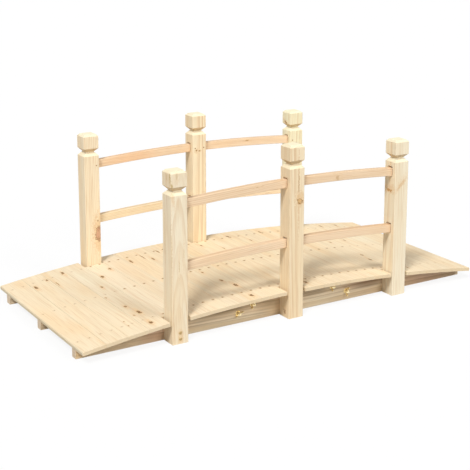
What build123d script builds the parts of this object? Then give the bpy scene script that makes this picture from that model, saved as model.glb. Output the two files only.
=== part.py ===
"""Small arched garden bridge of softwood with railings, in millimetres.

X runs along the bridge, Y across it and Z up. The origin is on the ground under the middle of the deck.
Three beams with arched tops stand flat on the ground and carry the cross boards of the deck. Six posts stand
on the ground against the outer beams, in slots that short deck boards leave, and carry the curved rails.
"""
import os
from math import asin, cos, sin, sqrt

from build123d import *

# Deck
deck_length = 1500.0  # from end to end, along X
arch_rise = 54.0  # the beam tops at mid span stand this much above their ends
board_count = 21
board_thickness = 12.0
board_edge_ease = 0.4  # small chamfer on the edges of the boards
board_seam = 0.3  # gap between neighbours at their lower edges
end_board_extra = 6.0  # the first and the last board are this much wider than the rest
end_bevel = 3.0  # bevel along the deck's two ends, on the upper outer edge of the end boards
short_board_gap = 2.0  # from the end of a short board to the post beside it
deck_overhang = 2.0  # the deck's edges stand out this far past the outer faces of the posts

# Beams and the cleats that join their halves
beam_thickness = 25.0
beam_end_height = 29.5
beam_end_setback = 1.0  # the beams stop this far short of the deck's ends
beam_joint_gap = 0.3  # between the two halves at mid span
cleat_length = 500.0
cleat_thickness = 20.0
cleat_floor_gap = 8.0
cleat_deck_gap = 6.0  # from the cleat's top corners up to the line of the beam tops
beam_edge_ease = 0.8  # small chamfer on the edges of beams and cleats

# Posts
post_size = 55.5
post_edge_radius = 2.0
railing_clear_width = 570.0  # between the inner faces of facing posts
boards_between_posts = 5  # full boards from one short board to the next
end_post_height = 542.0
middle_post_rise = 30.0  # the middle posts are this much taller than the end posts
head_height = 42.0  # upright sides of the head
head_chamfer = 7.0  # bevel round the top of the head
neck_depth = 12.0  # depth of the groove, and the height of each of its slopes
neck_flat = 2.0  # upright band at the bottom of the groove

# Rails and their mortises
rail_height = 28.0
rail_thickness = 21.0
rail_edge_ease = 1.5  # chamfer along the rail's four curved edges
upper_rail_drop = 20.0  # from the shoulder of an end post down to the upper rail's top beside it
rail_spacing = 197.0  # from the upper rail down to the lower one
tenon_length = 15.0  # how far a rail's end reaches into its post
tenon_end_gap = 0.5
mortise_cheek_gap = 0.3  # on each side of the rail's end
mortise_seat_gap = 0.3  # under the rail's end
mortise_headroom = 4.0  # above the rail's end

# Worked out: the arch that beam tops and rails share, and the layout that follows from it
half_length = deck_length / 2
arch_radius = (half_length**2 + arch_rise**2) / (2 * arch_rise)
arch_top = beam_end_height + arch_rise
board_turn = 2 * asin((half_length - end_board_extra) / arch_radius) / board_count
board_width = 2 * arch_radius * sin(board_turn / 2) - board_seam
boards_per_side = board_count // 2
post_step = boards_between_posts + 1
post_spacing = arch_radius * sin(post_step * board_turn)
beam_outer_y = railing_clear_width / 2
beam_y = beam_outer_y - beam_thickness / 2
post_y = beam_outer_y + post_size / 2
deck_width = railing_clear_width + 2 * (post_size + deck_overhang)
short_board_length = railing_clear_width - 2 * short_board_gap
neck_size = post_size - 2 * neck_depth
head_top_size = post_size - 2 * head_chamfer
crown_height = 2 * neck_depth + neck_flat + head_height + head_chamfer


def arch_drop(x):
    """How far the arch has come down from its top at a distance x from mid span."""
    return arch_radius - sqrt(arch_radius**2 - x**2)


upper_rail_top = end_post_height - crown_height - upper_rail_drop + arch_drop(post_spacing - post_size / 2)
rail_tops = {"upper": upper_rail_top, "lower": upper_rail_top - rail_spacing}
sides = {"front": -1, "rear": 1}
bays = {"left": -1, "right": 1}
post_places = {"left": -1, "middle": 0, "right": 1}

os.makedirs("parts", exist_ok=True)


def save(piece, name):
    """Labels one finished piece and writes it to its own file."""
    piece.part.label = name
    export_step(piece.part, f"parts/{name}.step")


def side_plane(y):
    """Upright plane at a distance y, drawn with X to the right and Z up."""
    return Plane(origin=(0, y, 0), x_dir=(1, 0, 0), z_dir=(0, -1, 0))


def arch_points(top, start, stop):
    """Three points of the arch with its summit at a height of top, from x = start to x = stop."""
    return [(x, top - arch_drop(x)) for x in (start, (start + stop) / 2, stop)]


def board_plane(step):
    """Plane that touches the beam tops under the middle of a board, counted from mid span."""
    turn = step * board_turn
    origin = (arch_radius * sin(turn), 0, arch_top - arch_radius + arch_radius * cos(turn))
    return Plane(origin=origin, x_dir=(cos(turn), 0, -sin(turn)), z_dir=(sin(turn), 0, cos(turn)))


def make_board(step):
    """One cross board of the deck: short where posts stand at its ends, wider and bevelled at the deck's ends."""
    length = short_board_length if abs(step) in (0, post_step) else deck_width
    at_end = abs(step) == boards_per_side
    extra = end_board_extra if at_end else 0
    outward = 1 if step > 0 else -1
    with BuildPart() as board:
        with BuildSketch(board_plane(step)):
            with Locations((outward * extra / 2, 0)):
                Rectangle(board_width + extra, length)
        extrude(amount=board_thickness)
        if at_end:
            top_edges = board.faces().sort_by(Axis.Z)[-1].edges().filter_by(Axis.Y)
            outer_edge = top_edges.sort_by(Axis.X)[-1 if outward > 0 else 0]
            chamfer(outer_edge, end_bevel)
        chamfer(board.edges(), board_edge_ease)
    return board


def make_beam(y, bay):
    """Half of a beam: flat below, arched above, from mid span to one end of the deck."""
    start = bay * beam_joint_gap / 2
    stop = bay * (half_length - beam_end_setback)
    with BuildPart() as beam:
        with BuildSketch(side_plane(y)):
            with BuildLine():
                ThreePointArc(*arch_points(arch_top, start, stop))
                for x in (start, stop):
                    Line((x, 0), (x, arch_top - arch_drop(x)))
                Line((start, 0), (stop, 0))
            make_face()
        extrude(amount=beam_thickness / 2, both=True)
        chamfer(beam.edges(), beam_edge_ease)
    return beam


def make_cleat(y):
    """Flat cleat that bridges the joint between the two halves of a beam."""
    top = arch_top - arch_drop(cleat_length / 2) - cleat_deck_gap
    with BuildPart() as cleat:
        with BuildSketch(side_plane(y)):
            with Locations((0, (cleat_floor_gap + top) / 2)):
                Rectangle(cleat_length, top - cleat_floor_gap)
        extrude(amount=cleat_thickness / 2, both=True)
        chamfer(cleat.edges(), beam_edge_ease)
    return cleat


def mortise_span(rail_top, mouth_x, back_x):
    """Lowest and highest point of a mortise that takes a rail's end from x = mouth_x to x = back_x."""
    drops = (arch_drop(mouth_x), arch_drop(back_x))
    low = rail_top - rail_height - max(drops) - mortise_seat_gap
    high = rail_top - min(drops) + mortise_headroom
    return low, high


def make_post(place, side):
    """Square post with a grooved neck, a bevelled cube head and mortises on the faces that rails meet."""
    height = end_post_height + (0 if place else middle_post_rise)
    shoulder = height - crown_height
    neck_low = shoulder + neck_depth
    neck_high = neck_low + neck_flat
    head_low = neck_high + neck_depth
    profile = [
        (0, post_size),
        (shoulder, post_size),
        (neck_low, neck_size),
        (neck_high, neck_size),
        (head_low, post_size),
        (head_low + head_height, post_size),
        (height, head_top_size),
    ]
    foot = Plane(origin=(place * post_spacing, side * post_y, 0))
    with BuildPart() as post:
        for (low, low_size), (high, high_size) in zip(profile, profile[1:]):
            with BuildSketch(foot.offset(low)):
                RectangleRounded(low_size, low_size, post_edge_radius)
            with BuildSketch(foot.offset(high)):
                RectangleRounded(high_size, high_size, post_edge_radius)
            loft()
        for face in (1, -1) if place == 0 else (-place,):
            mouth_x = place * post_spacing + face * post_size / 2
            back_x = mouth_x - face * tenon_length
            for rail_top in rail_tops.values():
                low, high = mortise_span(rail_top, mouth_x, back_x)
                with Locations(((mouth_x + back_x) / 2, side * post_y, (low + high) / 2)):
                    Box(tenon_length, rail_thickness + 2 * mortise_cheek_gap, high - low, mode=Mode.SUBTRACT)
    return post


def make_rail(rail_top, bay, side):
    """Curved rail of one bay, long enough for its ends to stand in the mortises of two posts."""
    reach = tenon_length - tenon_end_gap
    start = bay * (post_size / 2 - reach)
    stop = bay * (post_spacing - post_size / 2 + reach)
    bottom = rail_top - rail_height
    with BuildPart() as rail:
        with BuildSketch(side_plane(side * post_y)):
            with BuildLine():
                ThreePointArc(*arch_points(rail_top, start, stop))
                ThreePointArc(*arch_points(bottom, start, stop))
                for x in (start, stop):
                    Line((x, rail_top - arch_drop(x)), (x, bottom - arch_drop(x)))
            make_face()
        extrude(amount=rail_thickness / 2, both=True)
        chamfer(rail.edges().filter_by(GeomType.CIRCLE), rail_edge_ease)
    return rail


# Deck boards, numbered from the left end
for number in range(board_count):
    save(make_board(number - boards_per_side), f"deck_board_{number + 1:02d}")

# Beams, in two halves each
for name, y in {"front": -beam_y, "middle": 0, "rear": beam_y}.items():
    for bay_name, bay in bays.items():
        save(make_beam(y, bay), f"{name}_beam_{bay_name}")

# Cleats, on the inner faces of the outer beams and on the rear face of the middle one
cleat_offset = (beam_thickness + cleat_thickness) / 2
for name, y in {"front": cleat_offset - beam_y, "middle": cleat_offset, "rear": beam_y - cleat_offset}.items():
    save(make_cleat(y), f"{name}_cleat")

# Posts and rails of the two railings
for side_name, side in sides.items():
    for place_name, place in post_places.items():
        save(make_post(place, side), f"{side_name}_post_{place_name}")
    for level, rail_top in rail_tops.items():
        for bay_name, bay in bays.items():
            save(make_rail(rail_top, bay, side), f"{side_name}_{level}_rail_{bay_name}")
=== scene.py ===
"""Looks of an arched garden bridge: bare softwood, nails, screws and wing nuts, in a plain white studio.

Lengths are in metres, in the bridge's own frame: X along the deck, Y across it and Z up from the ground.
"""
import random
from dataclasses import dataclass
from math import asin, cos, pi, radians, sin

import bpy
from mathutils import Matrix, Vector


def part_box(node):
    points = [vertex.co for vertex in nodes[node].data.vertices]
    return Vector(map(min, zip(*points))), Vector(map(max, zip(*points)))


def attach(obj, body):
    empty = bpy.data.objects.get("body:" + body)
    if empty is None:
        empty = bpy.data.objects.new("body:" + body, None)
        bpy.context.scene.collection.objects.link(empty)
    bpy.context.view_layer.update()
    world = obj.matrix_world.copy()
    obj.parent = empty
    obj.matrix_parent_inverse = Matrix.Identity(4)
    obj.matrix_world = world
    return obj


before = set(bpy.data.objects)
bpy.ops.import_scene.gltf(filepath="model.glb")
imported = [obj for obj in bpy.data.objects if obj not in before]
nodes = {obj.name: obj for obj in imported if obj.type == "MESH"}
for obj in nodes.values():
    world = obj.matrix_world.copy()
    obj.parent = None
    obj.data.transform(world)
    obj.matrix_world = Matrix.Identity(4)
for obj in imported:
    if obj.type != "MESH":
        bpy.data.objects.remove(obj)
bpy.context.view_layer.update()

white = (1, 1, 1, 1)

# Camera, fitted to the photograph, with its lens in pixels of the photograph
camera_place = (-1.983, -3.203, 1.3195)
camera_pitch = radians(11.907)
camera_yaw = radians(-31.46)
photo_width_px = 470
focal_length_px = 1131.5
optical_axis_row_px = 141
sensor_width_mm = 36

# Light: a level is a share of the light that shows a colour as it is written
sky_level = 0.305
key_direction = Vector((-0.492, -0.372, 0.787))
key_width = radians(15)
key_level = 0.73
fill_direction = Vector((0.26, -0.78, 0.57))
fill_width = radians(26)
fill_level = 0.325

# Floor: grey as it lights the bridge, and nearly white with a faint shadow where it is seen
floor_size = 80.0
floor_colour_lit = (0.53, 0.53, 0.53, 1)
floor_colour_seen = (0.96, 0.96, 0.96, 1)
floor_glow_share = 0.88

# Nails of the deck: two a board over each beam, fainter on the boards at both ends
nail_rows = (-0.264, 0.006, 0.276)
nail_head_radius = 0.0034
nail_size_range = (0.85, 1.15)
nail_head_rise = 0.0004
nail_length = 0.009
nail_jitter = 0.0014
nail_segments = 12
end_boards = 4
end_nail_share = 0.4
stain_border = (0.0078, 0.0030)
stain_share = 0.60

# A nail's outline: shares of its head's radius, and heights in shares of its length, radius and rise
nail_outline_shares = (
    (0.1, -1.0, 0, 0), (0.5, -0.8, 0, 0), (0.5, 0, -0.4, 0), (1.0, 0, -0.1, 0),
    (1.0, 0, 0, 0.2), (0.85, 0, 0, 0.7), (0.45, 0, 0, 1.0), (0.1, 0, 0, 1.05),
)

# Pins through the inner faces of the posts into the rail ends
pin_inset = 0.010
pin_head_radius = 0.0024

# Bolts with wing nuts at mid span: places in X and Z, the wings' turns, and the threads
bolt_places = ((-0.187, 0.034), (-0.132, 0.056), (0.184, 0.058), (0.243, 0.031))
wing_turns = (radians(25), radians(52), radians(64), radians(75))
wing_nut_scale = 1.15
bolt_radius = 0.003
bolt_tip_radius = 0.0018
thread_pitch = 0.001
thread_depth = 0.0004
thread_turns = 7
thread_foot = 0.0080
first_thread = 0.0084
round_segments = 24
thread_segments = 16

# Outlines of the fittings in radius and height over the wood, and of one wing in X and height
washer_outline = ((0.0078, -0.0004), (0.0082, 0.0002), (0.0082, 0.0008), (0.0076, 0.0013), (0.004, 0.0013))
hub_outline = (
    (0.0062, 0.0012), (0.0066, 0.0018), (0.0064, 0.0034),
    (0.0050, 0.0080), (0.0046, 0.0086), (0.0031, 0.0088),
)
bolt_head_outline = (
    (0.0078, -0.0004), (0.0078, 0.0006), (0.0070, 0.0020),
    (0.0050, 0.0032), (0.0025, 0.0038), (0.0004, 0.0040),
)
wing_corners = (
    (0.0030, 0.0022), (0.0075, 0.0026), (0.0115, 0.0050), (0.0140, 0.0092),
    (0.0136, 0.0128), (0.0112, 0.0142), (0.0084, 0.0128), (0.0062, 0.0096), (0.0030, 0.0074),
)
wing_thickness = 0.0021
wing_bevel = 0.0005

# Screws at the foot of the front left post, with a cross pressed into their heads
foot_screw_heights = (0.035, 0.015)
foot_screw_radius = 0.0047
foot_screw_rise = 0.0016
foot_screw_turn = radians(20)
screw_rim = 0.0003
screw_root = 0.0010
screw_rings = 8
screw_segments = 32
cross_width_share = 0.16
cross_reach_share = 0.62
cross_depth_share = 0.6


def linear(share):
    """Amount of light of a channel that is given as it looks on a screen, from 0 to 1."""
    return share / 12.92 if share <= 0.04045 else ((share + 0.055) / 1.055) ** 2.4


def tone(red, green, blue):
    """Linear colour of a tone that is given as it looks on a screen, from 0 to 255."""
    return linear(red / 255), linear(green / 255), linear(blue / 255), 1.0


def toned(colour, shares):
    """A colour whose red, green and blue are changed by shares."""
    return tuple(channel * share for channel, share in zip(colour, shares)) + (1.0,)


def middle(name):
    """Middle of a CAD node's box."""
    low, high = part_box(name)
    return (low + high) / 2


# The arch, read from the middles of the first and the highest board
board_names = sorted(name for name in nodes if name.startswith("deck_board"))
end_board = middle(board_names[0])
top_board_name = board_names[len(board_names) // 2]
board_sag = middle(top_board_name).z - end_board.z
arch_radius = (end_board.x**2 + board_sag**2) / (2 * board_sag)


def tilt_at(x):
    """Angle about Y that lays a piece along the arch at a distance x from mid span."""
    return asin(x / arch_radius)


def rail_middle_height(name, x):
    """Height of a rail's middle line at a distance x from mid span."""
    low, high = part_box(name)
    near = min(abs(low.x), abs(high.x))
    far = max(abs(low.x), abs(high.x))
    drop = (far**2 - near**2) / (2 * arch_radius)
    depth = high.z - low.z - drop
    return high.z - depth / 2 - (x**2 - near**2) / (2 * arch_radius)


def local_frame(name, tilt):
    """Middle and half size of a node in axes that are turned about Y by its tilt."""
    turn = Matrix.Rotation(tilt, 3, "Y")
    rough = middle(name)
    points = [turn.inverted() @ (vertex.co - rough) for vertex in nodes[name].data.vertices]
    low = Vector([min(point[axis] for point in points) for axis in range(3)])
    high = Vector([max(point[axis] for point in points) for axis in range(3)])
    return rough + turn @ ((low + high) / 2), (high - low) / 2


class Net:
    """Adds linked shader nodes to one node tree in few words."""

    def __init__(self, tree):
        self.tree = tree

    def node(self, kind, inputs=None, **settings):
        node = self.tree.nodes.new(kind)
        for key, value in settings.items():
            setattr(node, key, value)
        for key, value in (inputs or {}).items():
            if isinstance(value, bpy.types.NodeSocket):
                self.tree.links.new(value, node.inputs[key])
            else:
                node.inputs[key].default_value = value
        return node

    def math(self, operation, *values):
        return self.node("ShaderNodeMath", dict(enumerate(values)), operation=operation).outputs[0]

    def vector(self, operation, *values):
        return self.node("ShaderNodeVectorMath", dict(enumerate(values)), operation=operation).outputs[0]

    def length(self, value):
        return self.node("ShaderNodeVectorMath", {0: value}, operation="LENGTH").outputs["Value"]

    def parts(self, value):
        return self.node("ShaderNodeSeparateXYZ", {0: value}).outputs

    def join(self, x, y, z):
        return self.node("ShaderNodeCombineXYZ", {0: x, 1: y, 2: z}).outputs[0]

    def most(self, value, strength, so_far):
        """The larger of a value, times a strength, and what there was before."""
        return self.math("MAXIMUM", self.math("MULTIPLY", value, strength), so_far)

    def smooth(self, value, start, stop):
        """0 before start and 1 after stop, or 1 before stop and 0 after start where start is the larger."""
        inputs = {"Value": value, "From Min": start, "From Max": stop}
        return self.node("ShaderNodeMapRange", inputs, interpolation_type="SMOOTHSTEP").outputs[0]

    def spread(self, value, low, high):
        """A value from 0 to 1, spread from low to high."""
        return self.node("ShaderNodeMapRange", {"Value": value, "To Min": low, "To Max": high}).outputs[0]

    def noise(self, place, waves, detail=2.0):
        """Noise with so many waves a metre along each axis."""
        scaled = self.vector("MULTIPLY", place, waves)
        return self.node("ShaderNodeTexNoise", {"Vector": scaled, "Scale": 1.0, "Detail": detail}).outputs

    def drift(self, place, waves, reach):
        """Noise in three directions that moves things to both sides."""
        both_sides = self.vector("SUBTRACT", self.noise(place, waves)["Color"], (0.5, 0.5, 0.5))
        return self.vector("MULTIPLY", both_sides, reach)

    def mix(self, factor, first, second, blend="MIX"):
        inputs = {0: factor, 6: first, 7: second}
        return self.node("ShaderNodeMix", inputs, data_type="RGBA", blend_type=blend).outputs[2]

    def group(self, group, inputs):
        return self.node("ShaderNodeGroup", inputs, node_tree=group).outputs

    def surface(self, colour, roughness, height, relief, relief_depth):
        """Links a colour, a roughness and a relief to the surface shader, which it returns."""
        uneven = {"Height": height, "Strength": relief, "Distance": relief_depth}
        bump = self.node("ShaderNodeBump", uneven).outputs[0]
        shader = self.tree.nodes["Principled BSDF"]
        self.tree.links.new(colour, shader.inputs["Base Color"])
        self.tree.links.new(roughness, shader.inputs["Roughness"])
        self.tree.links.new(bump, shader.inputs["Normal"])
        return shader


def new_material(name):
    """New material, and the net of its shader nodes."""
    material = bpy.data.materials.new(name)
    material.use_nodes = True
    return material, Net(material.node_tree)


def new_group(name, inputs, outputs):
    """Empty shader node group, with its inputs' sockets and its output node."""
    tree = bpy.data.node_groups.new(name, "ShaderNodeTree")
    for socket, kind in inputs.items():
        tree.interface.new_socket(name=socket, in_out="INPUT", socket_type=f"NodeSocket{kind}")
    for socket in outputs:
        tree.interface.new_socket(name=socket, in_out="OUTPUT", socket_type="NodeSocketFloat")
    given = tree.nodes.new("NodeGroupInput").outputs
    result = tree.nodes.new("NodeGroupOutput").inputs
    return tree, given, result


# Grain: waves a metre across and along it, how far they move the rings, and borders of tones
sway_waves = (7, 7, 1.3)
sway_reach = (0.016, 0.016, 0)
ripple_waves = (60, 60, 6)
ripple_reach = (0.0016, 0.0016, 0)
late_start = (0.30, 0.88)
late_stop = (1.0, 0.92)
weakest_year = 0.35
fibre_waves = (800, 800, 11)
streak_waves = (130, 130, 1.7)
streak_border = (0.58, 0.74)
fleck_waves = (280, 280, 8)
fleck_border = (0.55, 0.70)
band_waves = (48, 48, 1.1)
band_border = (0.48, 0.68)
cloud_waves = (13, 13, 2.1)


def make_grain_group():
    """Growth rings round a pith along the third axis, with fibres, streaks and broad changes of tone."""
    inputs = {"Place": "Vector", "Ring": "Float", "Bend": "Float"}
    outputs = ("Late", "Fibre", "Streak", "Fleck", "Band", "Cloud")
    tree, given, result = new_group("softwood_grain", inputs, outputs)
    net = Net(tree)
    place = given["Place"]
    bent = net.vector("ADD", place, net.drift(place, sway_waves, sway_reach))
    bent = net.vector("ADD", bent, net.drift(place, ripple_waves, ripple_reach))
    radius = net.math("ADD", net.length(net.vector("MULTIPLY", bent, (1, 1, 0))), given["Bend"])
    years = net.math("DIVIDE", radius, given["Ring"])
    season = net.math("FRACT", years)
    year = {"W": net.math("FLOOR", years)}
    vigour = net.node("ShaderNodeTexWhiteNoise", year, noise_dimensions="1D").outputs["Value"]
    dark = net.math("MULTIPLY", net.smooth(season, *late_start), net.smooth(season, *late_stop))
    values = {
        "Late": net.math("MULTIPLY", dark, net.spread(vigour, weakest_year, 1.0)),
        "Fibre": net.noise(place, fibre_waves, detail=3.0)[0],
        "Streak": net.smooth(net.noise(place, streak_waves)[0], *streak_border),
        "Fleck": net.smooth(net.noise(place, fleck_waves, detail=1.0)[0], *fleck_border),
        "Band": net.smooth(net.noise(place, band_waves)[0], *band_border),
        "Cloud": net.noise(place, cloud_waves, detail=3.0)[0],
    }
    for socket, value in values.items():
        tree.links.new(value, result[socket])
    return tree


# Knots: their uneven borders, and their halos' size, slip along the grain and pull on the rings
knot_waves = (150, 150, 150)
knot_unevenness = (1.7, 1.7, 1.7)
knot_border = (1.15, 0.4)
halo_width_share = 1.7
halo_length_share = 2.8
halo_slip_range = (-0.9, 0.9)
ring_bend_share = 1.6
halo_share = 0.65
rim_border = (0.05, 0.6)
heart_border = (0.45, 0.95)


def make_knot_group():
    """One knot: an ellipsoid with a dark core, and a longer halo in which the grain bends round it."""
    inputs = {name: "Vector" for name in ("Place", "Centre", "Halo Centre", "Turn", "Size", "Halo Size")}
    tree, given, result = new_group("knot", inputs, ("Core", "Halo"))
    net = Net(tree)
    place = given["Place"]
    uneven = net.drift(place, knot_waves, knot_unevenness)
    for socket, centre, size in (("Core", "Centre", "Size"), ("Halo", "Halo Centre", "Halo Size")):
        scaled = {"Vector": place, "Location": given[centre], "Rotation": given["Turn"], "Scale": given[size]}
        offset = net.node("ShaderNodeMapping", scaled, vector_type="TEXTURE").outputs[0]
        reach = net.length(net.vector("ADD", offset, uneven))
        tree.links.new(net.smooth(reach, *knot_border), result[socket])
    return tree


def make_edge_group():
    """How far a point of a box lies from the nearest edge: the second smallest distance to its faces."""
    tree, given, result = new_group("edge_distance", {"Local": "Vector", "Half": "Vector"}, ("Edge",))
    net = Net(tree)
    x, y, z = net.parts(net.vector("SUBTRACT", given["Half"], net.vector("ABSOLUTE", given["Local"])))
    low = net.math("MINIMUM", x, y)
    high = net.math("MAXIMUM", x, y)
    tree.links.new(net.math("MAXIMUM", low, net.math("MINIMUM", high, z)), result["Edge"])
    return tree


grain_group = make_grain_group()
knot_group = make_knot_group()
edge_group = make_edge_group()

# Which of a piece's own axes run across the grain, and which along it
grain_axes = {"x": (1, 2, 0), "y": (0, 2, 1), "z": (0, 1, 2)}

# What chance decides for each piece: pith, lean in degrees, place in the log and strengths
pith_side_range = (-0.05, 0.05)
pith_depth_range = (0.035, 0.11)
lean_range = (-1.6, 1.6)
log_range = (3, 60)
lightness_range = (0.965, 1.02)
contrast_range = (0.8, 1.2)
strength_range = (0.6, 1.2)

# Pith and lean where the figure is plain to see: arched on one post, straight on another
chosen_grain = {
    "front_post_left": ((0.004, -0.040), (2.0, 0.4)),
    "front_post_right": ((0.12, 0.03), (0.6, 0.5)),
}

# Tones as shares of the early wood's red, green and blue, and where they begin
late_shares = (0.80, 0.65, 0.50)
grey_late_shares = (0.62, 0.55, 0.47)
warm_shares = (0.97, 0.85, 0.70)
warm_border = (0.44, 0.72)
band_shares = (0.84, 0.76, 0.66)
fleck_share = 0.40
fibre_lightness = (0.91, 1.09)

# Heads of posts, whose figure is stronger
head_depth = 0.050
head_border = 0.005
head_contrast = 1.35

# Faces with another tone, partly painted shade and highlight: how far they are turned, from none of that tone
# to all of it
end_facing = (0.35, 0.85)
sawn_edge_tone_and_shade_facing = (0.72, 0.84)
sawn_edge_tone_and_shade_shares = (0.83, 0.85, 0.84)
top_shade_facing = (0.50, 0.85)

# Broad patches of another tone, which go right through a piece
patch_depth = 0.2
patch_unevenness = 0.8
patch_border = (1.4, 0.5)

# Edges that handling has rubbed pale, with a painted highlight where rounded edges would catch the light
wear_and_highlight_waves = (90, 90, 90)
wear_and_highlight_unevenness = 0.005
wear_and_highlight_border = (0.0062, 0.0026)
wear_and_highlight_share = 0.30
wear_and_highlight_shares = (1.03, 1.04, 1.06)

# Relief and gloss of the wood
late_height = 0.6
halo_height = 0.5
wood_relief = 0.35
wood_relief_depth = 0.0005
fibre_roughness = (0.52, 0.74)
late_roughness = -0.10
wood_specular = 0.25

# Colours of knots, stains, painted shade in mortise gaps and ends, with a painted highlight on the posts'
# tops and painted shade under their heads
knot_heart = tone(122, 88, 48)
knot_rim = tone(186, 142, 90)
knot_halo = tone(232, 194, 142)
rust_stain = tone(196, 158, 108)
# Painted shade for the gaps of the mortises round the rail ends
mortise_painted_shade = tone(146, 100, 60)
deck_end = tone(220, 196, 157)
beam_end = tone(219, 198, 172)
rail_end = tone(236, 208, 170)
# Painted highlight on the posts' upward ends and painted shade on their downward ends, over the end grain
post_top_painted_highlight = tone(254, 244, 212)
post_under_painted_shade = tone(208, 172, 120)


@dataclass
class Look:
    """Early wood's colour, and the grain and the ends of one family of pieces."""

    early: tuple
    ring: float
    contrast: float
    streaks: float
    bands: float
    warmth: float
    ends: tuple
    end_share: float
    late: tuple = late_shares


@dataclass
class Knot:
    """A knot's place, its half size along the piece's X, Y and Z, how dark it is, and its turn."""

    place: tuple
    size: tuple
    strength: float = 1.0
    turn: tuple = (0, 0, 0)


@dataclass
class Patch:
    """A patch's place, its half size, and shares of the wood's red, green and blue."""

    place: tuple
    size: tuple
    shares: tuple


class Wood:
    """The softwood of one CAD node, put together step by step."""

    def __init__(self, name, look, along, tilt):
        self.name = name
        self.look = look
        self.along = along
        self.draw = random.Random(name)
        self.material, self.net = new_material(f"{name}_wood")
        centre, self.half = local_frame(name, tilt)
        self.place = self.net.node("ShaderNodeTexCoord").outputs["Object"]
        turned = {"Vector": self.place, "Location": centre, "Rotation": (0, tilt, 0)}
        self.local = self.net.node("ShaderNodeMapping", turned, vector_type="TEXTURE").outputs[0]
        self.axes = self.net.parts(self.local)
        self.facing = self.net.parts(self.net.node("ShaderNodeNewGeometry").outputs["Normal"])
        self.core = 0.0
        self.halo = 0.0

    def cover(self, share, colour, strength=1.0):
        """Lays another colour over the wood, as far as a share from 0 to 1 and a strength say."""
        self.colour = self.net.mix(self.net.math("MULTIPLY", share, strength), self.colour, colour)

    def tint(self, share, shares):
        """Changes the wood's red, green and blue by shares, as far as a share from 0 to 1 says."""
        self.colour = self.net.mix(share, self.colour, (*shares, 1.0), "MULTIPLY")

    def add_knot(self, knot):
        """Adds a knot to the cores and to the halos round them, which are longest along the grain."""
        lengthwise = grain_axes[self.along][2]
        halo_size = [halo_width_share * size for size in knot.size]
        halo_size[lengthwise] = halo_length_share * knot.size[lengthwise]
        halo_place = list(knot.place)
        halo_place[lengthwise] += self.draw.uniform(*halo_slip_range) * knot.size[lengthwise]
        places = {"Place": self.place, "Centre": knot.place, "Halo Centre": halo_place, "Turn": knot.turn}
        sizes = {"Size": knot.size, "Halo Size": halo_size}
        shares = self.net.group(knot_group, places | sizes)
        self.core = self.net.most(shares["Core"], knot.strength, self.core)
        self.halo = self.net.most(shares["Halo"], knot.strength, self.halo)

    def lay_grain(self, knots):
        """Lays rings round a pith beside the piece and out of line with it, bent round the knots."""
        net = self.net
        ordered = net.join(*(self.axes[axis] for axis in grain_axes[self.along]))
        pith = (self.draw.uniform(*pith_side_range), self.draw.uniform(*pith_depth_range))
        lean = (self.draw.uniform(*lean_range), self.draw.uniform(*lean_range))
        pith, lean = chosen_grain.get(self.name, (pith, lean))
        turn = (radians(lean[0]), radians(lean[1]), 0)
        shift = {"Vector": ordered, "Location": (*pith, self.draw.uniform(*log_range)), "Rotation": turn}
        grain_place = net.node("ShaderNodeMapping", shift, vector_type="POINT").outputs[0]
        for knot in knots:
            self.add_knot(knot)
        bend = net.math("MULTIPLY", self.halo, ring_bend_share * self.look.ring)
        self.grain = net.group(grain_group, {"Place": grain_place, "Ring": self.look.ring, "Bend": bend})

    def colour_grain(self):
        """Colours early wood, and over it late wood, warm patches, bands, streaks, flecks and fibres."""
        net = self.net
        look = self.look
        self.early = toned(look.early, (self.draw.uniform(*lightness_range),) * 3)
        self.colour = self.early
        late_colour = toned(self.early, look.late)
        late = net.math("MULTIPLY", self.grain["Late"], look.contrast * self.draw.uniform(*contrast_range))
        if self.along == "z":
            neck = self.half.z - head_depth
            head = net.smooth(self.axes["Z"], neck - head_border, neck)
            late = net.math("MULTIPLY", late, net.spread(head, 1.0, head_contrast))
        self.cover(late, late_colour)
        warm = net.smooth(self.grain["Cloud"], *warm_border)
        self.cover(warm, toned(self.early, warm_shares), look.warmth * self.draw.uniform(*strength_range))
        bands = look.bands * self.draw.uniform(*strength_range)
        self.cover(self.grain["Band"], toned(self.early, band_shares), bands)
        self.cover(self.grain["Streak"], late_colour, look.streaks)
        self.cover(self.grain["Fleck"], late_colour, fleck_share)
        fibre = net.spread(self.grain["Fibre"], *fibre_lightness)
        self.colour = net.mix(1.0, self.colour, net.join(fibre, fibre, fibre), "MULTIPLY")

    def add_patches(self, patches):
        """Changes the tone in broad patches with uneven borders."""
        net = self.net
        for patch in patches:
            scaled = {"Vector": self.place, "Location": patch.place, "Scale": patch.size}
            offset = net.node("ShaderNodeMapping", scaled, vector_type="TEXTURE").outputs[0]
            reach = net.math("MULTIPLY_ADD", self.grain["Cloud"], patch_unevenness, net.length(offset))
            self.tint(net.smooth(reach, *patch_border), patch.shares)

    def colour_ends(self):
        """Colours the end grain, on faces across the grain; a post's upward ends get a painted highlight and
        its downward ends painted shade.
        """
        along_grain = self.facing[self.along.upper()]
        for sign, end in zip((-1, 1), self.look.ends):
            across = self.net.smooth(self.net.math("MULTIPLY", along_grain, sign), *end_facing)
            self.cover(across, end, self.look.end_share)

    def darken_sawn_edges_with_painted_shade(self):
        """Darkens a board's sawn long edges, where they can be seen at the ends of the deck, with sawn tone
        and painted shade.
        """
        sideways = self.net.math("ABSOLUTE", self.facing["X"])
        self.tint(self.net.smooth(sideways, *sawn_edge_tone_and_shade_facing), sawn_edge_tone_and_shade_shares)

    def paint_top_shade(self, shares):
        """Paints shade on a top face, so that it is darker than the sides."""
        self.tint(self.net.smooth(self.facing["Z"], *top_shade_facing), shares)

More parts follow.
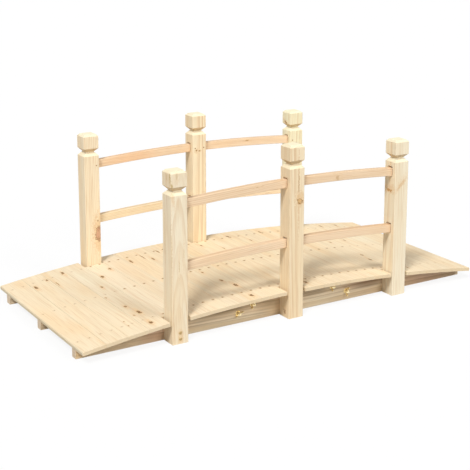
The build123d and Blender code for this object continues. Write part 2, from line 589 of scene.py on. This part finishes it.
    def colour_knots(self, heart, rim):
        """Colours the halos, rims and hearts of the knots."""
        self.cover(self.halo, knot_halo, halo_share)
        self.cover(self.net.smooth(self.core, *rim_border), rim)
        self.cover(self.net.smooth(self.core, *heart_border), heart)

    def paint_mortise_shade(self, mortise_shade):
        """Paints shade in the mortise gaps, as small knots without a halo."""
        edges = 0.0
        for knot in mortise_shade:
            inputs = {"Place": self.place, "Centre": knot.place, "Size": knot.size}
            edges = self.net.most(self.net.group(knot_group, inputs)["Core"], knot.strength, edges)
        self.cover(edges, mortise_painted_shade)

    def stain_nails(self, strength):
        """Darkens the wood round the six nails of a board."""
        net = self.net
        across = net.math("SUBTRACT", net.math("ABSOLUTE", self.axes["X"]), self.half.x / 2)
        rows = [net.math("ABSOLUTE", net.math("SUBTRACT", self.axes["Y"], row)) for row in nail_rows]
        nearest = net.math("MINIMUM", net.math("MINIMUM", rows[0], rows[1]), rows[2])
        distance = net.length(net.join(across, nearest, 0.0))
        self.cover(net.smooth(distance, *stain_border), rust_stain, stain_share * strength)

    def rub_edges_and_paint_highlights(self):
        """Makes the edges pale and ragged, as handling does, and as a painted highlight of rounded edges."""
        net = self.net
        edge = net.group(edge_group, {"Local": self.local, "Half": self.half})["Edge"]
        ragged = net.math("MULTIPLY_ADD", net.noise(self.place, wear_and_highlight_waves)[0], wear_and_highlight_unevenness, edge)
        self.cover(net.smooth(ragged, *wear_and_highlight_border), toned(self.early, wear_and_highlight_shares), wear_and_highlight_share)

    def finish(self):
        """Adds gloss and relief, and gives the material to the CAD node."""
        net = self.net
        late = self.grain["Late"]
        height = net.math("MULTIPLY_ADD", late, late_height, self.grain["Fibre"])
        height = net.math("MULTIPLY_ADD", self.halo, halo_height, height)
        roughness = net.spread(self.grain["Fibre"], *fibre_roughness)
        roughness = net.math("MULTIPLY_ADD", late, late_roughness, roughness)
        shader = net.surface(self.colour, roughness, height, wood_relief, wood_relief_depth)
        shader.inputs["Specular IOR Level"].default_value = wood_specular
        for slot in nodes[self.name].material_slots:
            slot.material = self.material


def dress_wood(
    name, look, along, tilt=0.0, knots=(), knot_tones=(knot_heart, knot_rim),
    patches=(), nails=0.0, mortise_shade=(), top_shade_shares=None,
):
    """Gives a CAD node its own piece of softwood, with its grain along one of its axes."""
    wood = Wood(name, look, along, tilt)
    wood.lay_grain(knots)
    wood.colour_grain()
    wood.add_patches(patches)
    wood.colour_ends()
    if nails:
        wood.darken_sawn_edges_with_painted_shade()
    if top_shade_shares:
        wood.paint_top_shade(top_shade_shares)
    if knots:
        wood.colour_knots(*knot_tones)
    if mortise_shade:
        wood.paint_mortise_shade(mortise_shade)
    if nails:
        wood.stain_nails(nails)
    wood.rub_edges_and_paint_highlights()
    wood.finish()


# Kinds of deck boards: colour of the early wood, ring width, contrast, streaks, bands and warmth
deck_kinds = {
    "plain": (tone(244, 226, 194), 0.0036, 0.20, 0.28, 0.30, 0.60),
    "orange": (tone(243, 224, 191), 0.0042, 0.16, 0.25, 0.15, 1.20),
    "beige": (tone(243, 226, 196), 0.0036, 0.20, 0.28, 0.45, 0.40),
    "streaked": (tone(246, 227, 193), 0.0040, 0.24, 0.36, 0.42, 0.70),
}
deck_end_share = 0.5
orange_board = 1
beige_boards = (4, 5, 6)
last_plain_board = 8

# Knots of the deck: places in X and Y, half sizes across and along the grain in millimetres, and darkness
deck_knots = (
    (-0.665, 0.232, 7, 12, 0.95), (-0.612, 0.266, 6, 8, 0.85), (-0.545, 0.289, 6, 12, 0.80),
    (-0.597, 0.205, 3, 22, 0.55), (-0.455, 0.157, 7, 10, 0.85), (-0.402, 0.212, 7, 9, 0.75),
    (-0.312, 0.228, 6, 16, 0.75), (-0.258, 0.247, 3, 26, 0.70), (-0.237, 0.202, 5, 15, 0.75),
    (-0.187, 0.266, 4, 16, 0.70), (-0.497, 0.072, 6, 8, 0.80), (-0.527, -0.023, 6, 10, 0.40),
    (-0.510, -0.132, 6, 8, 0.70), (-0.497, -0.202, 8, 11, 1.00), (-0.520, -0.214, 6, 8, 0.45),
    (-0.505, -0.297, 8, 10, 1.00), (-0.565, -0.235, 3, 4, 0.55), (-0.568, -0.272, 3, 4, 0.55),
    (-0.168, -0.025, 5, 7, 0.60), (-0.155, -0.130, 6, 9, 0.75), (-0.140, -0.194, 8, 12, 0.95),
    (-0.148, -0.304, 8, 9, 0.90), (-0.023, 0.237, 5, 10, 0.70), (0.120, 0.288, 6, 12, 0.80),
    (0.032, 0.168, 4, 8, 0.55), (0.173, 0.207, 5, 10, 0.60), (0.264, 0.290, 6, 10, 0.70),
    (0.556, 0.298, 6, 10, 0.75), (0.632, 0.303, 6, 10, 0.75), (0.439, 0.072, 5, 9, 0.60),
    (0.513, 0.083, 5, 9, 0.60), (0.445, -0.110, 6, 9, 0.70), (0.436, -0.172, 7, 10, 0.95),
    (0.070, -0.293, 7, 8, 0.90), (0.503, -0.293, 4, 6, 0.70),
)
millimetre = 0.001
deck_knot_width_share = 0.9
deck_knot_length_share = 1.25
deck_knot_depth = 0.060

# Patches of tone on the deck: places and half sizes in X and Y, and shares of red, green and blue
warm_patch = (1.0, 0.94, 0.87)
shade_patch = (0.93, 0.89, 0.84)
pale_patch = (1.02, 1.07, 1.11)
deck_patches = (
    (-0.730, -0.080, 0.040, 0.220, warm_patch), (-0.690, -0.180, 0.035, 0.110, warm_patch),
    (-0.690, 0.300, 0.040, 0.070, warm_patch), (-0.495, -0.170, 0.050, 0.170, shade_patch),
    (-0.495, 0.200, 0.050, 0.130, pale_patch), (-0.355, 0.120, 0.045, 0.230, warm_patch),
    (0.105, 0.215, 0.090, 0.070, pale_patch), (0.600, 0.090, 0.090, 0.080, pale_patch),
)


def deck_board_look(number):
    """Look of a board, counted from the left end."""
    kind = "streaked" if number > last_plain_board else "plain"
    if number == orange_board:
        kind = "orange"
    if number in beige_boards:
        kind = "beige"
    return Look(*deck_kinds[kind], ends=(deck_end, deck_end), end_share=deck_end_share)


def deck_board_knots(name):
    """The knots that lie on one board."""
    low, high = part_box(name)
    found = []
    for x, y, across, along, strength in deck_knots:
        if low.x < x < high.x:
            width = deck_knot_width_share * across * millimetre
            length = deck_knot_length_share * along * millimetre
            found.append(Knot((x, y, middle(name).z), (width, length, deck_knot_depth), strength))
    return found


def deck_board_patches(name):
    """The patches of tone that reach one board."""
    low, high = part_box(name)
    found = []
    for x, y, half_x, half_y, shares in deck_patches:
        if low.x - half_x < x < high.x + half_x:
            found.append(Patch((x, y, middle(name).z), (half_x, half_y, patch_depth), shares))
    return found


def nail_strength(name):
    """How plainly a board's nails show: less on the boards at the two ends."""
    at_end = name in board_names[:end_boards] + board_names[-end_boards:]
    return end_nail_share if at_end else 1.0


def dress_deck():
    """Gives each deck board its wood, with its grain across the bridge."""
    for number, name in enumerate(board_names, 1):
        tilt = tilt_at(middle(name).x)
        knots = deck_board_knots(name)
        patches = deck_board_patches(name)
        nails = nail_strength(name)
        dress_wood(name, deck_board_look(number), "y", tilt, knots, patches=patches, nails=nails)


# Beams and cleats: wide rings with grey late wood
beam_look = Look(
    early=tone(252, 232, 200), ring=0.0115, contrast=0.85, streaks=0.90, bands=1.00, warmth=0.9,
    ends=(beam_end, beam_end), end_share=0.8, late=grey_late_shares,
)

# Patches of tone on the front beam: places and half sizes in X and Z, and shares of red, green and blue; the
# dim ones high under the deck are painted shade, the bright ones low down are painted light, the brown one is
# brown tone with painted shade
brown_painted_shade_patch = (0.78, 0.68, 0.64)
painted_shade_patch = (0.69, 0.67, 0.64)
gold_patch = (0.93, 0.83, 0.68)
russet_patch = (0.86, 0.75, 0.74)
painted_light_patch = (1.06, 1.12, 1.17)
beam_patches = {
    "front_beam_left": (
        (-0.735, 0.014, 0.050, 0.035, gold_patch), (-0.485, 0.022, 0.080, 0.048, russet_patch),
        (-0.270, 0.052, 0.190, 0.032, painted_shade_patch), (-0.230, 0.004, 0.230, 0.028, painted_light_patch),
        (-0.055, 0.045, 0.100, 0.052, painted_shade_patch),
    ),
    "front_beam_right": (
        (0.110, 0.012, 0.160, 0.034, painted_light_patch), (0.110, 0.056, 0.100, 0.022, painted_shade_patch),
        (0.335, 0.046, 0.140, 0.026, brown_painted_shade_patch), (0.350, 0.042, 0.120, 0.026, painted_shade_patch),
        (0.580, 0.018, 0.190, 0.048, russet_patch),
    ),
}


def dress_beams():
    """Gives each beam and cleat its wood, with its grain along the bridge."""
    for name in nodes:
        if "beam" in name or "cleat" in name:
            y = middle(name).y
            patches = []
            for x, z, half_x, half_z, shares in beam_patches.get(name, ()):
                patches.append(Patch((x, y, z), (half_x, patch_depth, half_z), shares))
            dress_wood(name, beam_look, "x", patches=patches)


# Posts: colours of the early wood, and ring widths, contrasts and streaks
post_tones = {
    "front_post_left": tone(251, 237, 209),
    "front_post_middle": tone(246, 227, 193),
    "front_post_right": tone(250, 238, 211),
    "rear_post_left": tone(253, 237, 206),
    "rear_post_middle": tone(255, 239, 206),
    "rear_post_right": tone(255, 248, 214),
}
post_grains = {
    "front_post_left": (0.0042, 0.42, 0.65),
    "front_post_middle": (0.0062, 0.88, 0.28),
    "front_post_right": (0.0062, 0.48, 0.28),
    "rear_post_left": (0.0062, 0.50, 0.28),
    "rear_post_right": (0.0062, 0.42, 0.15),
}
common_post_grain = (0.0062, 0.72, 0.28)

# Knots, lines and stains of the posts, and painted shade round the foot screws, with the tones of their
# hearts and rims
post_knots = {
    "rear_post_left": [Knot((-0.406, 0.285, 0.188), (0.016, 0.02, 0.031))],
    "rear_post_right": [Knot((0.3984, 0.316, 0.497), (0.006, 0.017, 0.0042), 0.60, (radians(30), 0, 0))],
    "rear_post_middle": [
        Knot((-0.0125, 0.285, 0.4395), (0.0055, 0.02, 0.0035), 0.60),
        Knot((-0.0010, 0.285, 0.4370), (0.0045, 0.02, 0.0030), 0.55),
    ],
    "front_post_left": [
        Knot((-0.4515, -0.337, 0.510), (0.0045, 0.005, 0.034), 0.62, (radians(-8), radians(-7), 0)),
        Knot((-0.4342, -0.3405, 0.5285), (0.006, 0.006, 0.014), 0.30),
        Knot((-0.4538, -0.3140, 0.5225), (0.006, 0.007, 0.014), 0.26),
        Knot((-0.4530, -0.3390, 0.290), (0.0026, 0.0026, 0.130), 0.34),
        Knot((-0.4538, -0.2990, 0.320), (0.003, 0.0026, 0.110), 0.30),
        Knot((-0.4285, -0.3405, 0.245), (0.0020, 0.004, 0.024), 0.34),
        Knot((-0.4120, -0.3405, 0.285), (0.0020, 0.004, 0.020), 0.28),
        # Dark rings round the two foot screws: painted shade of their countersunk holes
        Knot((-0.4261, -0.3405, foot_screw_heights[0]), (0.0064, 0.006, 0.0066), 0.75),
        Knot((-0.4261, -0.3405, foot_screw_heights[1]), (0.0064, 0.006, 0.0066), 0.75),
    ],
    "front_post_middle": [
        Knot((0.010, -0.340, 0.390), (0.0118, 0.02, 0.0102), 0.95),
        Knot((0.006, -0.340, 0.444), (0.0026, 0.006, 0.062), 0.28),
        Knot((-0.0275, -0.317, 0.020), (0.02, 0.008, 0.010), 0.40),
    ],
    "front_post_right": [
        Knot((0.425, -0.340, 0.390), (0.009, 0.006, 0.036), 0.34, (0, radians(45), 0)),
        Knot((0.398, -0.309, 0.368), (0.008, 0.021, 0.007), 0.75),
    ],
}
post_knot_tones = {
    "rear_post_left": (tone(216, 170, 136), tone(160, 116, 80)),
    "front_post_left": (tone(150, 124, 72), tone(204, 176, 120)),
    "front_post_middle": (tone(228, 188, 132), tone(150, 104, 56)),
    "front_post_right": (tone(190, 136, 78), tone(222, 180, 126)),
}

# Painted shade in the gaps of the mortises, beside the cheeks of the rail ends and over their corners
shade_cheek_out = 0.0012
shade_cheek_size = (0.004, 0.0026, 0.018)
shade_cheek_range = (0.35, 0.85)
shade_corner_in = 0.0018
shade_corner_rise = 0.0160
shade_corner_size = (0.004, 0.0034, 0.0034)
shade_corner_range = (0.6, 1.0)


def post_look(name):
    """A post's look: lines of late wood, and end grain with a painted highlight on tops and upward slopes and
    painted shade on downward slopes.
    """
    ring, contrast, streaks = post_grains.get(name, common_post_grain)
    return Look(
        post_tones[name], ring, contrast, streaks, bands=0.25, warmth=0.5,
        ends=(post_under_painted_shade, post_top_painted_highlight), end_share=0.7,
    )


def rails_in(post):
    """Names of the rails that are let into a post."""
    side, _, place = post.split("_")
    rails = [name for name in nodes if "_rail_" in name and name.startswith(f"{side}_")]
    return [rail for rail in rails if place in ("middle", rail.split("_")[-1])]


def mortise_shade_marks(post):
    """Painted shade in the gaps of a post's mortises."""
    draw = random.Random(f"{post} mortises")
    low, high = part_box(post)
    found = []
    for rail in rails_in(post):
        rail_low, rail_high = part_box(rail)
        x = low.x if rail_low.x < low.x else high.x
        z = rail_middle_height(rail, x)
        for y, side in ((rail_low.y, -1), (rail_high.y, 1)):
            cheek = (x, y + side * shade_cheek_out, z)
            found.append(Knot(cheek, shade_cheek_size, draw.uniform(*shade_cheek_range)))
            corner = (x, y - side * shade_corner_in, z + shade_corner_rise)
            found.append(Knot(corner, shade_corner_size, draw.uniform(*shade_corner_range)))
    return found


def dress_posts():
    """Gives each post its wood, with upright grain, the knots that show and painted shade in its mortises."""
    for name in nodes:
        if "_post_" in name:
            knots = post_knots.get(name, ())
            tones = post_knot_tones.get(name, (knot_heart, knot_rim))
            dress_wood(name, post_look(name), "z", knots=knots, knot_tones=tones, mortise_shade=mortise_shade_marks(name))


# Rails: colours of the early wood, knots, a patch of tone, and shares of painted shade on top faces
rail_tones = {
    "front_lower_rail_left": tone(251, 225, 192),
    "rear_upper_rail_right": tone(252, 228, 197),
    "rear_lower_rail_left": tone(249, 230, 195),
    "rear_lower_rail_right": tone(252, 231, 199),
}
common_rail_tone = tone(247, 220, 186)
rail_knots = {
    "rear_upper_rail_right": [Knot((0.214, 0.302, 0.449), (0.009, 0.02, 0.003), 0.45)],
    "front_upper_rail_right": [Knot((0.170, -0.323, 0.443), (0.009, 0.02, 0.012), 0.30)],
    "front_upper_rail_left": [Knot((-0.140, -0.323, 0.451), (0.008, 0.02, 0.003), 0.30)],
}
pink_patch = (1.0, 0.89, 0.81)
rail_patches = {
    "rear_upper_rail_left": [Patch((-0.255, 0.302, 0.440), (0.130, patch_depth, 0.060), pink_patch)],
}
rail_top_painted_shade = {"front_lower_rail_right": (0.76, 0.70, 0.64)}
common_rail_top_painted_shade = (0.88, 0.85, 0.82)


def rail_look(name):
    """A rail's look: pinker wood with fine lines."""
    return Look(
        early=rail_tones.get(name, common_rail_tone), ring=0.0055, contrast=0.60, streaks=0.35, bands=0.35,
        warmth=0.6, ends=(rail_end, rail_end), end_share=0.5,
    )


def dress_rails():
    """Gives each rail its wood, with its grain along the bridge and painted shade on its top."""
    for name in nodes:
        if "_rail_" in name:
            tilt = tilt_at(middle(name).x)
            knots = rail_knots.get(name, ())
            patches = rail_patches.get(name, ())
            top_shade_shares = rail_top_painted_shade.get(name, common_rail_top_painted_shade)
            dress_wood(name, rail_look(name), "x", tilt, knots, patches=patches, top_shade_shares=top_shade_shares)


def add_object(name, data):
    """New object in the scene."""
    item = bpy.data.objects.new(name, data)
    bpy.context.scene.collection.objects.link(item)
    return item


def band_faces(bands, count):
    """Four-sided faces between rings of points that follow one another."""
    faces = []
    for band in range(bands):
        low = band * count
        high = low + count
        for step in range(count):
            after = (step + 1) % count
            faces.append([low + step, low + after, high + after, high + step])
    return faces


def circle(radius, height, segments):
    """Points round the axis Z."""
    angles = [2 * pi * step / segments for step in range(segments)]
    return [(radius * cos(angle), radius * sin(angle), height) for angle in angles]


class Mesh:
    """Collects closed solids into the mesh of one piece."""

    def __init__(self):
        self.points = []
        self.faces = []

    def add(self, points, faces, matrix):
        start = len(self.points)
        self.points += [matrix @ Vector(point) for point in points]
        self.faces += [[start + index for index in face] for face in faces]

    def lathe(self, outline, matrix, segments):
        """Turns an outline of radii and heights round the axis Z, from bottom to top, capped at both ends."""
        points = []
        for radius, height in outline:
            points += circle(radius, height, segments)
        top = len(points) - segments
        bottom_cap = list(range(segments))[::-1]
        top_cap = [top + step for step in range(segments)]
        self.add(points, [bottom_cap, *band_faces(len(outline) - 1, segments), top_cap], matrix)

    def slab(self, outline, thickness, bevel, matrix):
        """Flat lobe with bevelled rims: an outline in the XZ plane, thick along Y."""
        count = len(outline)
        middle_x = sum(x for x, _ in outline) / count
        middle_z = sum(z for _, z in outline) / count
        half = thickness / 2
        layers = ((-half, bevel), (-half + bevel, 0), (half - bevel, 0), (half, bevel))
        points = []
        for y, inset in layers:
            for x, z in outline:
                away = Vector((x - middle_x, z - middle_z))
                kept = away * max(0.0, 1 - inset / max(away.length, inset))
                points.append((middle_x + kept.x, y, middle_z + kept.y))
        bands = len(layers) - 1
        front = list(range(count))
        sides = [[face[1], face[0], face[3], face[2]] for face in band_faces(bands, count)]
        back = [bands * count + step for step in range(count)][::-1]
        self.add(points, [front, *sides, back], matrix)

    def piece(self, name, material, crease=radians(35)):
        """Makes the object, which rides on the bridge, with its one material."""
        mesh = bpy.data.meshes.new(name)
        mesh.from_pydata([tuple(point) for point in self.points], [], self.faces)
        mesh.validate()
        mesh.shade_smooth()
        mesh.set_sharp_from_angle(angle=crease)
        mesh.materials.append(material)
        item = add_object(name, mesh)
        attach(item, "root")


def smooth_loop(corners, steps=4):
    """Closed smooth line through given corners."""
    line = []
    count = len(corners)
    for index in range(count):
        before, start, stop, beyond = (Vector(corners[(index + offset) % count]) for offset in (-1, 0, 1, 2))
        for step in range(steps):
            share = step / steps
            point = start + (stop - before) * share / 2
            point += (2 * before - 5 * start + 4 * stop - beyond) * share**2 / 2
            point += (3 * start - before - 3 * stop + beyond) * share**3 / 2
            line.append(tuple(point))
    return line


# Patina and fine unevenness of the metals
patina_border = (0.40, 0.68)
patina_roughness = 0.12
metal_waves = (2500, 2500, 2500)
metal_relief = 0.2
metal_relief_depth = 0.0002


def metal(name, bright, dull, metallic, roughness, patina_waves):
    """Metal with patches of patina and a fine uneven surface."""
    material, net = new_material(name)
    place = net.node("ShaderNodeTexCoord").outputs["Object"]
    patina = net.noise(place, (patina_waves,) * 3, detail=4.0)[0]
    fine = net.noise(place, metal_waves)[0]
    colour = net.mix(net.smooth(patina, *patina_border), bright, dull)
    rough = net.spread(patina, roughness - patina_roughness, roughness + patina_roughness)
    shader = net.surface(colour, rough, fine, metal_relief, metal_relief_depth)
    shader.inputs["Metallic"].default_value = metallic
    return material


dark_steel = metal(
    "oxidised_steel", bright=tone(186, 146, 96), dull=tone(152, 114, 70),
    metallic=0.0, roughness=0.80, patina_waves=600,
)
bright_steel = metal(
    "yellow_zinc_steel", bright=tone(208, 180, 126), dull=tone(156, 126, 80),
    metallic=0.45, roughness=0.45, patina_waves=500,
)
brass = metal(
    "yellow_brass", bright=tone(255, 242, 200), dull=tone(244, 218, 156),
    metallic=0.95, roughness=0.26, patina_waves=350,
)


def outward(place, direction, turn=0.0):
    """Placing of a small solid whose axis Z points along a direction."""
    upright = Vector(direction).to_track_quat("Z", "Y").to_matrix().to_4x4()
    return Matrix.Translation(place) @ upright @ Matrix.Rotation(turn, 4, "Z")


def nail_outline(radius):
    """Radii and heights of a nail, from its point to the top of a domed head just above the surface."""
    outline = []
    for width, in_length, in_radius, in_rise in nail_outline_shares:
        height = in_length * nail_length + in_radius * radius + in_rise * nail_head_rise
        outline.append((width * radius, height))
    return outline


def make_deck_nails():
    """Two nails a board over each of the three beams."""
    draw = random.Random("deck nails")
    mesh = Mesh()
    outline = nail_outline(nail_head_radius)
    low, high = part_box(top_board_name)
    half_thickness = (high.z - low.z) / 2
    for name in board_names:
        tilt = tilt_at(middle(name).x)
        centre, half = local_frame(name, tilt)
        board = Matrix.Translation(centre) @ Matrix.Rotation(tilt, 4, "Y")
        for row in nail_rows:
            for side in (-1, 1):
                x = side * half.x / 2 + draw.uniform(-nail_jitter, nail_jitter)
                y = row + draw.uniform(-nail_jitter, nail_jitter)
                size = draw.uniform(*nail_size_range) * nail_strength(name)
                spot = Matrix.Translation((x, y, half_thickness)) @ Matrix.Diagonal((size, size, 1, 1))
                mesh.lathe(outline, board @ spot, nail_segments)
    mesh.piece("deck_nails", dark_steel)


def make_rail_pins():
    """One pin at each rail end, driven in from the walkway side of the post."""
    mesh = Mesh()
    outline = nail_outline(pin_head_radius)
    for post in nodes:
        if "_post_" not in post:
            continue
        low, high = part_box(post)
        at_rear = post.startswith("rear_")
        y = low.y if at_rear else high.y
        direction = (0, -1, 0) if at_rear else (0, 1, 0)
        for rail in rails_in(post):
            rail_on_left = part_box(rail)[0].x < low.x
            x = low.x + pin_inset if rail_on_left else high.x - pin_inset
            place = (x, y, rail_middle_height(rail, x))
            mesh.lathe(outline, outward(place, direction), nail_segments)
    mesh.piece("rail_pins", dark_steel)


def add_wing_nut(mesh, matrix):
    """Washer, wing nut and the threaded end of a bolt, standing on a face along the axis Z."""
    mesh.lathe(washer_outline, matrix, round_segments)
    mesh.lathe(hub_outline, matrix, round_segments)
    wing = smooth_loop(wing_corners)
    for turn in (0, pi):
        mesh.slab(wing, wing_thickness, wing_bevel, matrix @ Matrix.Rotation(turn, 4, "Z"))
    groove_radius = bolt_radius - thread_depth
    thread = [(groove_radius, thread_foot)]
    for step in range(thread_turns):
        height = first_thread + step * thread_pitch
        thread += [(bolt_radius, height), (groove_radius, height + thread_pitch / 2)]
    thread += [(bolt_tip_radius, first_thread + thread_turns * thread_pitch)]
    mesh.lathe(thread, matrix, thread_segments)


def make_bolts():
    """Wing nuts on one face of each beam, and the bolts' domed heads on the cleat behind it."""
    for row in ("front", "middle", "rear"):
        beam_low, beam_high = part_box(f"{row}_beam_left")
        cleat_low, cleat_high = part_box(f"{row}_cleat")
        nuts = Mesh()
        heads = Mesh()
        cleat_behind = cleat_low.y > beam_low.y
        nut_y = beam_low.y if cleat_behind else beam_high.y
        head_y = cleat_high.y if cleat_behind else cleat_low.y
        out = -1 if cleat_behind else 1
        for (x, z), turn in zip(bolt_places, wing_turns):
            placing = outward((x, nut_y, z), (0, out, 0), turn) @ Matrix.Scale(wing_nut_scale, 4)
            add_wing_nut(nuts, placing)
            heads.lathe(bolt_head_outline, outward((x, head_y, z), (0, -out, 0)), round_segments)
        nuts.piece(f"{row}_wing_nuts", brass)
        heads.piece(f"{row}_bolt_heads", brass)


def add_cross_head(mesh, radius, rise, matrix):
    """Domed screw head with a cross-shaped recess pressed into it."""
    points = circle(radius, -screw_root, screw_segments)
    for ring in range(screw_rings):
        share = 1 - ring / screw_rings
        dome = rise * (1 - share**2) + screw_rim
        for x, y, _ in circle(radius * share, dome, screw_segments):
            in_cross = min(abs(x), abs(y)) < cross_width_share * radius and share < cross_reach_share
            points.append((x, y, dome - cross_depth_share * rise if in_cross else dome))
    tip = len(points)
    points.append((0, 0, rise * (1 - cross_depth_share)))
    last = screw_rings * screw_segments
    base = list(range(screw_segments))[::-1]
    crown = [[last + step, last + (step + 1) % screw_segments, tip] for step in range(screw_segments)]
    mesh.add(points, [base, *band_faces(screw_rings, screw_segments), *crown], matrix)


def make_foot_screws():
    """Two screws, one over the other, at the foot of the front left post."""
    mesh = Mesh()
    low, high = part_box("front_post_left")
    for height in foot_screw_heights:
        place = ((low.x + high.x) / 2, low.y, height)
        placing = outward(place, (0, -1, 0), foot_screw_turn)
        add_cross_head(mesh, foot_screw_radius, foot_screw_rise, placing)
    mesh.piece("post_foot_screws", bright_steel)


def seen_directly(net):
    """1 for what is seen, straight or through gloss and glass, and 0 for light that falls on things."""
    path = net.node("ShaderNodeLightPath").outputs
    seen = net.math("MAXIMUM", path["Is Camera Ray"], path["Is Glossy Ray"])
    return net.math("MAXIMUM", seen, path["Is Transmission Ray"])


def make_floor():
    """Plain white floor that keeps a faint shadow."""
    half = floor_size / 2
    corners = [(-half, -half, 0), (half, -half, 0), (half, half, 0), (-half, half, 0)]
    mesh = bpy.data.meshes.new("studio_floor")
    mesh.from_pydata(corners, [], [(0, 1, 2, 3)])
    floor = add_object("studio_floor", mesh)
    material, net = new_material("white_floor")
    tree = material.node_tree
    tree.nodes.remove(tree.nodes["Principled BSDF"])
    seen = seen_directly(net)
    colour = net.mix(seen, floor_colour_lit, floor_colour_seen)
    matt = net.node("ShaderNodeBsdfDiffuse", {"Color": colour}).outputs[0]
    glow = net.node("ShaderNodeEmission", {"Color": white, "Strength": 1.0}).outputs[0]
    share = net.math("MULTIPLY", seen, floor_glow_share)
    both = net.node("ShaderNodeMixShader", {0: share, 1: matt, 2: glow}).outputs[0]
    tree.links.new(both, tree.nodes["Material Output"].inputs["Surface"])
    mesh.materials.append(material)


def make_sky():
    """Even white surroundings: white where they are seen, softer as light."""
    world = bpy.data.worlds.new("white_studio")
    world.use_nodes = True
    net = Net(world.node_tree)
    level = net.spread(seen_directly(net), sky_level, 1.0)
    background = world.node_tree.nodes["Background"]
    background.inputs["Color"].default_value = white
    world.node_tree.links.new(level, background.inputs["Strength"])
    bpy.context.scene.world = world


def make_lamp(name, direction, width, level):
    """Far soft lamp, as wide as an angle, that lights a face turned to it at a given level."""
    lamp = bpy.data.lights.new(name, "SUN")
    lamp.angle = width
    lamp.energy = level * pi
    item = add_object(name, lamp)
    item.rotation_euler = direction.to_track_quat("Z", "Y").to_euler()


def make_camera():
    """Camera of the photograph, with its optical axis above the middle of the picture."""
    camera = bpy.data.cameras.new("photo_camera")
    camera.sensor_width = sensor_width_mm
    camera.lens = sensor_width_mm * focal_length_px / photo_width_px
    camera.shift_y = (optical_axis_row_px - photo_width_px / 2) / photo_width_px
    item = add_object("photo_camera", camera)
    item.location = camera_place
    item.rotation_euler = (pi / 2 - camera_pitch, 0, camera_yaw)
    bpy.context.scene.camera = item


dress_deck()
dress_beams()
dress_posts()
dress_rails()
make_deck_nails()
make_rail_pins()
make_bolts()
make_foot_screws()
make_floor()
make_sky()
make_lamp("key_lamp", key_direction, key_width, key_level)
make_lamp("fill_lamp", fill_direction, fill_width, fill_level)
make_camera()
bpy.context.scene.view_settings.view_transform = "Standard"
